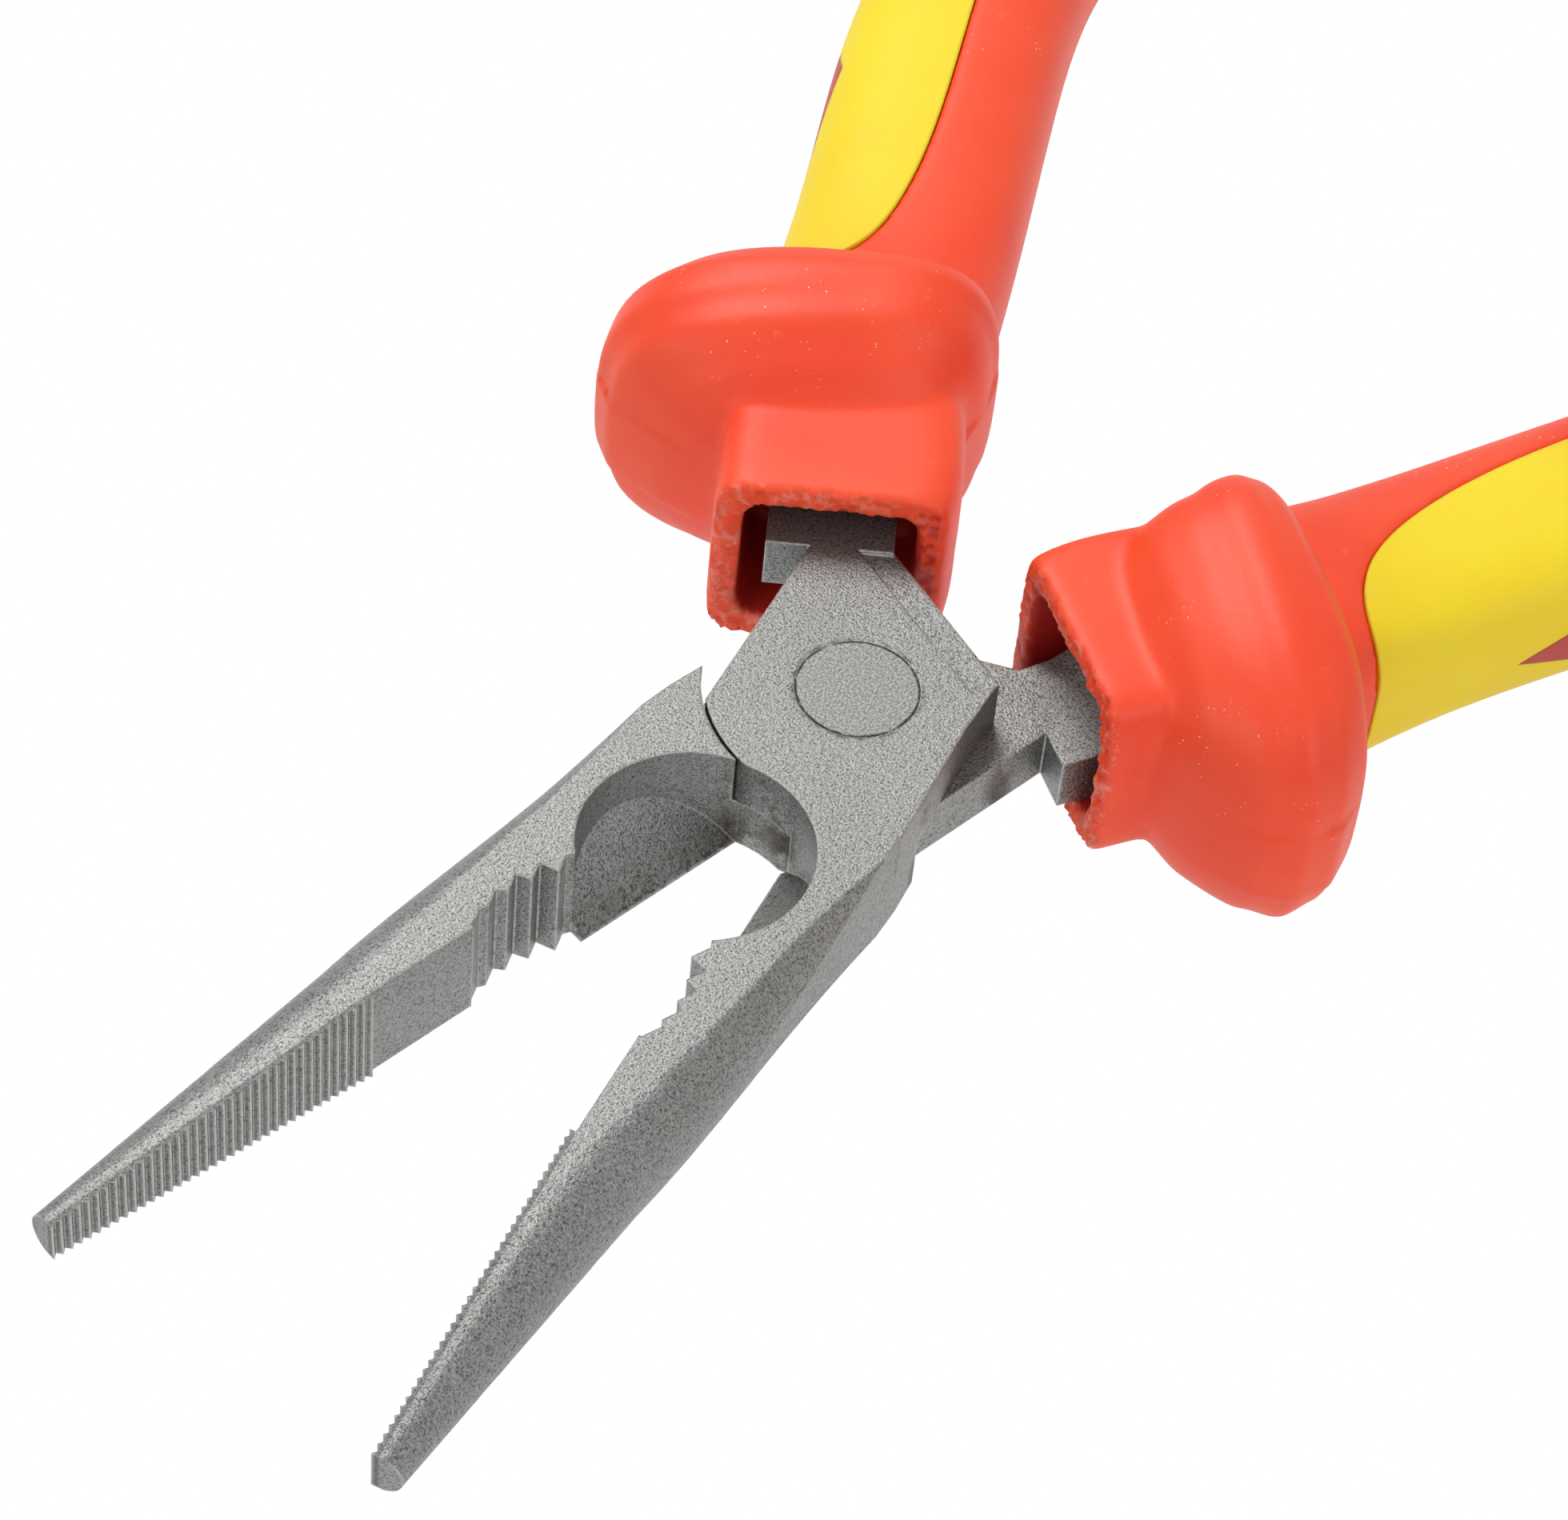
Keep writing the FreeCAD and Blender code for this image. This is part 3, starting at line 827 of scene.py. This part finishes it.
@dataclass
class Lever:
    """One forged lever: jaw, cutter, lap plate and tang."""

    side: Side
    steel: bpy.types.Material
    edge_round: float = 0.22 * MM
    edge_steps: int = 2
    edge_angle: float = 32.0
    flat_angle: float = 0.6
    normal_weight: int = 80
    bite_start: float = 48.5 * MM

    def build(self, nodes: dict[str, bpy.types.Object]) -> bpy.types.Object:
        """Rounds the forging's broad edges and dresses it.

        Args:
            nodes: the CAD nodes by name.

        Returns:
            The finished lever.
        """
        node = self.side.node("lever")
        piece = merged_copy(nodes[node], f"{self.side.value}_forged_lever")
        self.select_broad_edges(piece)
        bpy.ops.mesh.bevel(offset=self.edge_round, segments=self.edge_steps, profile=0.5,
                           affect="EDGES", clamp_overlap=True)
        bpy.ops.object.mode_set(mode="OBJECT")
        smooth(piece, self.edge_angle)
        modify(piece, "WEIGHTED_NORMAL", keep_sharp=True, weight=self.normal_weight)
        dress(piece, self.steel)
        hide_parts(node)
        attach(piece, self.side.body)
        return piece

    def select_broad_edges(self, piece: bpy.types.Object) -> None:
        """Joins flat triangles, then selects the sharp edges short of the serrations.

        Args:
            piece: the merged lever, left in edit mode.
        """
        pick(piece)
        bpy.ops.object.mode_set(mode="EDIT")
        bpy.ops.mesh.select_all(action="SELECT")
        bpy.ops.mesh.dissolve_limited(angle_limit=math.radians(self.flat_angle))
        bpy.ops.mesh.select_mode(type="EDGE")
        bpy.ops.mesh.select_all(action="DESELECT")
        bpy.ops.mesh.edges_select_sharp(sharpness=math.radians(self.edge_angle))
        bpy.ops.object.mode_set(mode="OBJECT")
        spots = piece.data.vertices
        for edge in piece.data.edges:
            first, last = (spots[index].co for index in edge.vertices)
            middle = (first + last) / 2
            if middle.x > self.bite_start or (first - last).length < 2 * self.edge_round:
                edge.select = False
        bpy.ops.object.mode_set(mode="EDIT")


@dataclass
class Rivet:
    """The flush rivet that the levers turn on."""

    steel: bpy.types.Material

    def build(self, nodes: dict[str, bpy.types.Object]) -> bpy.types.Object:
        """Dresses the rivet, which keeps its CAD shape.

        Args:
            nodes: the CAD nodes by name.

        Returns:
            The rivet.
        """
        rivet = nodes["pivot_rivet"]
        dress(rivet, self.steel)
        return rivet


@dataclass
class Sleeve:
    """One insulating sleeve: collar with its open mouth, finger guard and handle."""

    side: Side
    plastic: bpy.types.Material
    voxel: float = 0.42 * MM
    rounds: int = 10
    mouth: Span = (-13.6 * MM, -9.0 * MM)
    mouth_turn: float = 20.3
    joint_middle: float = 5.0 * MM
    guard_ridges: Span = (13.0 * MM, 18.5 * MM)
    ridge_depth: float = 0.30 * MM
    ridge_width: float = 1.7 * MM
    ridge_gap: float = 4 * MM
    guard_lean: float = 0.18
    hollow_start: float = 0.3 * MM
    hollow_depth: float = 12.5 * MM
    hollow_width: float = 8.7 * MM
    hollow_height: float = 7.7 * MM
    hollow_lift: float = 1.2 * MM
    tear_depth: float = 0.55 * MM
    tear_reach: float = 1.6 * MM
    tear_size: float = 0.8 * MM

    def build(self, nodes: dict[str, bpy.types.Object]) -> bpy.types.Object:
        """Moulds the sleeve with soft blends, guard ridges and a ragged mouth.

        Args:
            nodes: the CAD nodes by name.

        Returns:
            The finished sleeve.
        """
        node = self.side.node("sleeve")
        piece = merged_copy(nodes[node], f"{self.side.value}_moulded_sleeve")
        modify(piece, "REMESH", mode="VOXEL", voxel_size=self.voxel, adaptivity=0.0)
        modify(piece, "SMOOTH", factor=0.5, iterations=self.rounds)
        self.press_ridges(piece)
        self.tear_mouth(piece)
        self.mark_shaded_hollow(piece)
        smooth(piece, SOFT_ANGLE)
        dress(piece, self.plastic)
        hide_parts(node)
        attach(piece, self.side.body)
        return piece

    def along_and_across(self, piece: bpy.types.Object
                         ) -> tuple[np.ndarray, np.ndarray, np.ndarray]:
        """Measures the mesh's points from the middle of the collar's mouth.

        Args:
            piece: the sleeve.

        Returns:
            Each point's distance along the handle, its distance outwards, and
            the handle's direction there as one vector.
        """
        sign = self.side.sign
        turn = math.radians(HALF_OPENING)
        x, y = self.mouth
        middle = np.array((x * math.cos(turn) - y * math.sin(turn),
                           sign * (x * math.sin(turn) + y * math.cos(turn)), self.joint_middle))
        heading = math.radians(180.0 + self.mouth_turn + HALF_OPENING)
        behind = np.array((math.cos(heading), sign * math.sin(heading), 0.0))
        outward = np.array((-behind[1], behind[0], 0.0)) * sign
        away = points_of(piece) - middle
        return away @ behind - self.side.mouth_behind, away @ outward, behind

    def press_ridges(self, piece: bpy.types.Object) -> None:
        """Presses soft bands round the guard's rise towards the joint.

        Args:
            piece: the smoothed sleeve.
        """
        along, outward, _ = self.along_and_across(piece)
        spots = points_of(piece)
        normals = np.empty(len(piece.data.vertices) * 3)
        piece.data.vertices.foreach_get("normal", normals)
        normals = normals.reshape(-1, 3)
        place = along + self.guard_lean * outward
        sink = np.zeros(len(spots))
        for ridge in self.guard_ridges:
            sink += np.exp(-(((place - ridge) / self.ridge_width) ** 2))
        outside = np.abs(spots[:, 2] - self.joint_middle) > self.ridge_gap
        set_points(piece, spots - normals * (sink * outside * self.ridge_depth)[:, None])

    def tear_mouth(self, piece: bpy.types.Object) -> None:
        """Roughens the rim of the mouth, where the moulding's flash is torn off.

        Args:
            piece: the sleeve with its ridges.
        """
        along, _, behind = self.along_and_across(piece)
        spots = points_of(piece)
        rim = along.min()
        share = np.clip(1 - (along - rim) / self.tear_reach, 0, 1) ** 2
        wave = np.array([noise.turbulence(Vector(spot) / self.tear_size, 4, False)
                         if weight > 0 else 0.0 for spot, weight in zip(spots, share)])
        set_points(piece, spots + behind * (share * wave * self.tear_depth)[:, None])
        self.mark(piece, "torn", share)

    def mark_shaded_hollow(self, piece: bpy.types.Object) -> None:
        """Marks the walls within the collar, which get a painted shade of deeper red.

        Args:
            piece: the sleeve.
        """
        along, outward, _ = self.along_and_across(piece)
        rise = points_of(piece)[:, 2] - self.joint_middle - self.hollow_lift
        hollow_shade = ((along > self.hollow_start) & (along < self.hollow_depth)
                  & (np.abs(outward) < self.hollow_width) & (np.abs(rise) < self.hollow_height))
        self.mark(piece, "shaded_hollow", hollow_shade.astype(float))

    @staticmethod
    def mark(piece: bpy.types.Object, name: str, values: np.ndarray) -> None:
        """Stores one number per point, for the plastic to read.

        Args:
            piece: the sleeve.
            name: the attribute's name.
            values: the numbers in the points' order.
        """
        layer = piece.data.attributes.new(name, "FLOAT", "POINT")
        layer.data.foreach_set("value", values)


@dataclass
class SoftGrip:
    """One soft yellow grip and the dark red dart let into it."""

    side: Side
    soft: bpy.types.Material
    dart: bpy.types.Material

    def build(self, nodes: dict[str, bpy.types.Object]) -> list[bpy.types.Object]:
        """Dresses the grip and its dart, which keep their CAD shapes.

        Args:
            nodes: the CAD nodes by name.

        Returns:
            The grip and the dart.
        """
        grip, dart = nodes[self.side.node("grip")], nodes[self.side.node("inlay")]
        dress(grip, self.soft)
        dress(dart, self.dart)
        return [grip, dart]


@dataclass
class Studio:
    """The white sweep, the soft lamps and the camera, whose axes are unit vectors."""

    floor_drop: float = 14 * MM
    floor_size: float = 3.0
    floor_middle: Span = (-0.6, -0.4)
    wall_share: float = 0.4
    wall_height: float = 1.6
    sweep_round: float = 0.4
    sweep_steps: int = 12
    eye: Triple = (0.23870, 0.14643, 0.33091)
    right: Triple = (-0.60290121, 0.79496819, 0.06734761)
    up: Triple = (-0.58322713, -0.49676579, 0.64270512)
    back: Triple = (0.54438611, 0.34820874, 0.76314771)
    lens: float = 122.04
    sensor: float = 36.0
    clip: Span = (0.01, 20.0)
    lamps: tuple[tuple[str, Triple, float, float], ...] = (
        ("key_lamp", (-0.30, -0.50, 0.80), 0.45, 5.0),
        ("fill_lamp", (0.10, 0.80, 0.55), 0.6, 2.2),
        ("tip_lamp", (0.75, -0.20, 0.50), 0.5, 1.6),
    )
    world_level: float = 0.42

    def build(self, paper: bpy.types.Material) -> None:
        """Builds the sweep, lamps and camera.

        Args:
            paper: the sweep's material.
        """
        self.build_sweep(paper)
        for name, spot, size, watts in self.lamps:
            self.add_lamp(name, Vector(spot), size, watts)
        self.light_world()
        self.place_camera()

    def build_sweep(self, paper: bpy.types.Material) -> None:
        """Spreads the floor under the pliers and turns its far edge up into a wall.

        Args:
            paper: the sweep's material.
        """
        deselect()
        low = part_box("front_sleeve")[0].z - self.floor_drop
        bpy.ops.mesh.primitive_plane_add(size=self.floor_size, location=(*self.floor_middle, low))
        sweep = bpy.context.object
        sweep.name = "white_sweep"
        bpy.ops.object.mode_set(mode="EDIT")
        bpy.ops.mesh.select_mode(type="EDGE")
        bpy.ops.mesh.select_all(action="DESELECT")
        bpy.ops.object.mode_set(mode="OBJECT")
        for edge in sweep.data.edges:
            middle = sum((sweep.data.vertices[i].co for i in edge.vertices), Vector()) / 2
            edge.select = middle.x < -self.wall_share * self.floor_size
        bpy.ops.object.mode_set(mode="EDIT")
        bpy.ops.mesh.extrude_region_move(
            TRANSFORM_OT_translate={"value": (0, 0, self.wall_height)})
        bpy.ops.object.mode_set(mode="OBJECT")
        bpy.ops.object.transform_apply(location=True, rotation=True, scale=True)
        modify(sweep, "BEVEL", width=self.sweep_round, segments=self.sweep_steps,
               limit_method="ANGLE")
        smooth(sweep, SOFT_ANGLE)
        dress(sweep, paper)

    def add_lamp(self, name: str, spot: Vector, size: float, watts: float) -> None:
        """Adds one soft square lamp that faces the pliers.

        Args:
            name: the lamp's name.
            spot: where it hangs.
            size: its side in metres.
            watts: its power.
        """
        deselect()
        bpy.ops.object.light_add(type="AREA", location=spot)
        lamp = bpy.context.object
        lamp.name = name
        lamp.data.size, lamp.data.energy = size, watts
        lamp.rotation_euler = (-spot).to_track_quat("-Z", "Y").to_euler()

    def light_world(self) -> None:
        """Fills the room with an even white light."""
        world = bpy.data.worlds.new("white_room")
        world.use_nodes = True
        tree = world.node_tree
        plain = tree.nodes["Background"]
        plain.inputs["Color"].default_value = (*WHITE, 1.0)
        plain.inputs["Strength"].default_value = self.world_level
        seen = tree.nodes.new("ShaderNodeBackground")
        seen.inputs["Color"].default_value = (*WHITE, 1.0)
        rays = tree.nodes.new("ShaderNodeLightPath")
        joined = tree.nodes.new("ShaderNodeMixShader")
        tree.links.new(rays.outputs["Is Camera Ray"], joined.inputs[0])
        tree.links.new(plain.outputs[0], joined.inputs[1])
        tree.links.new(seen.outputs[0], joined.inputs[2])
        tree.links.new(joined.outputs[0], tree.nodes["World Output"].inputs["Surface"])
        bpy.context.scene.world = world

    def place_camera(self) -> None:
        """Sets the camera where the pliers are seen from the front and the tips."""
        deselect()
        bpy.ops.object.camera_add()
        camera = bpy.context.object
        camera.name = "viewing_camera"
        turn = Matrix((self.right, self.up, self.back)).transposed().to_4x4()
        camera.matrix_world = Matrix.Translation(self.eye) @ turn
        camera.data.sensor_fit = "HORIZONTAL"
        camera.data.sensor_width = self.sensor
        camera.data.lens = self.lens
        camera.data.clip_start, camera.data.clip_end = self.clip
        bpy.context.scene.camera = camera


def main() -> None:
    """Builds every sub-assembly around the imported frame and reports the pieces."""
    logging.basicConfig(level=logging.INFO, format="%(name)s: %(message)s")
    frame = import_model()
    nodes = frame["nodes"]
    bpy.context.scene.view_settings.view_transform = "Standard"

    steel = BlastedSteel().make()
    rivet_steel = RivetSteel().make()
    # The deeper red within the collars' mouths is painted shade.
    red = MouldedPlastic("orange_red_plastic", paint(255, 86, 46), paint(246, 62, 30),
                         specks=0.8, hollow_shade=paint(196, 34, 32)).make()
    yellow = MouldedPlastic("soft_yellow", paint(252, 226, 32), paint(246, 206, 24),
                            gloss=0.5).make()
    dark_red = MouldedPlastic("dark_red_plastic", paint(204, 66, 48), paint(178, 48, 36)).make()

    Studio().build(Backdrop().make())
    pieces = [Rivet(rivet_steel).build(nodes)]
    for side in Side:
        pieces.append(Lever(side, steel).build(nodes))
        pieces.append(Sleeve(side, red).build(nodes))
        pieces.extend(SoftGrip(side, yellow, dark_red).build(nodes))
    for piece in pieces:
        LOG.info("%s: %d faces", piece.name, len(piece.data.polygons))


if __name__ == "__main__":
    main()
